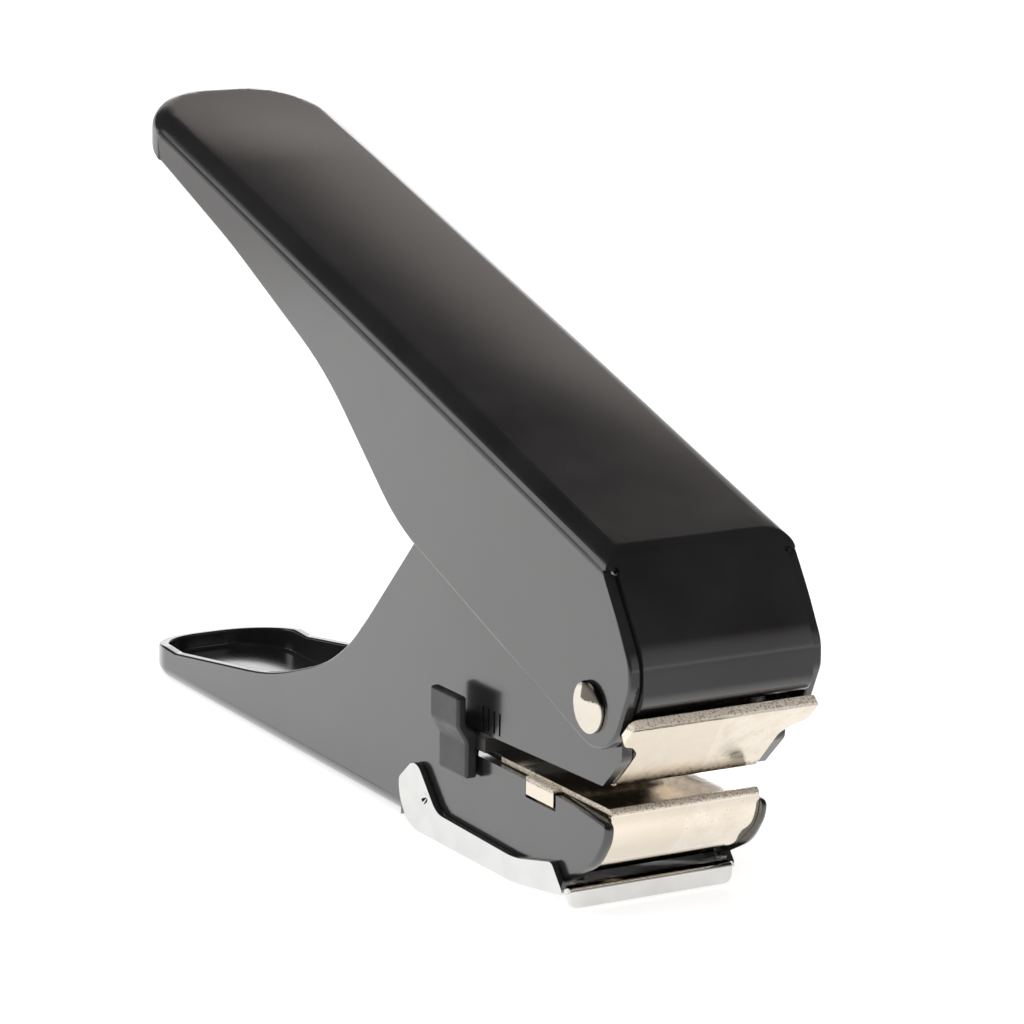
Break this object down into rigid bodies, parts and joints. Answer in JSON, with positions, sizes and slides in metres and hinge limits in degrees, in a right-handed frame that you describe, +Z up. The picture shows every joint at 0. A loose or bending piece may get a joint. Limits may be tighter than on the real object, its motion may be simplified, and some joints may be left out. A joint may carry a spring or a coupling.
{
  "type": "id card slot punch",
  "caption": "Hand-held plier punch that cuts a long round-ended slot in plastic cards, with a sprung lever handle, sliding depth stop and swing-down chip tray.",
  "frame": {"origin": "middle of the footprint on the table", "axes": "+X towards the nose and jaws, +Z up, +Y to the tool's left seen from behind its nose looking forwards"},
  "size_m": [0.1514, 0.0328, 0.0919],
  "materials": {
    "satin_black": "satin black powder coat over folded sheet steel",
    "nickel": "bright nickel plate with sheared edges",
    "chrome": "polished chrome plate",
    "black_plastic": "moulded black plastic with a fine matt grain",
    "tool_steel": "ground hardened steel, lightly oiled",
    "zinc_plate": "plain zinc-plated steel",
    "spring_wire": "drawn spring wire"
  },
  "bodies": {
    "frame": {"body_frame": "satin_black", "pivot_rivet": "nickel", "pivot_sleeve": "zinc_plate", "pivot_washer_right": "zinc_plate", "pivot_washer_left": "zinc_plate", "guide_plate": "nickel", "guide_block": "zinc_plate", "guide_screws": "zinc_plate", "die_plate": "nickel", "return_spring_front": "spring_wire", "return_spring_rear": "spring_wire"},
    "handle": {"handle_shell": "satin_black", "drive_bracket": "zinc_plate"},
    "punch": {"punch_carrier": "zinc_plate", "punch_blade": "tool_steel", "blade_pins": "tool_steel", "drive_pin": "tool_steel", "drive_roller_right": "tool_steel", "drive_roller_left": "tool_steel"},
    "depth_stop": {"depth_stop": "black_plastic"},
    "chip_tray": {"chip_tray": "chrome"}
  },
  "joints": [
    {"name": "handle_pivot", "type": "hinge", "parent": "frame", "child": "handle", "pos_m": [0.06552, 0, 0.03106], "axis": [0, -1, 0], "range_deg": [0, 18], "stiffness_Nm_per_rad": 0.64, "springref_deg": -13.41},
    {"name": "punch_slide", "type": "slide", "parent": "frame", "child": "punch", "axis": [0.0183, 0, -0.9998], "range_m": [0, 0.00495], "deforming": ["return_spring_front", "return_spring_rear"]},
    {"name": "depth_stop_slide", "type": "slide", "parent": "frame", "child": "depth_stop", "axis": [0.9998, 0, 0.0183], "range_m": [0, 0.0045]},
    {"name": "chip_tray_hinge", "type": "hinge", "parent": "frame", "child": "chip_tray", "pos_m": [0.02018, 0, 0.00548], "axis": [0, 1, 0], "range_deg": [0, 75]}
  ],
  "couplings": [
    {"joint": "punch_slide", "follows": "handle_pivot", "m_per_rad": 0.015728}
  ]
}
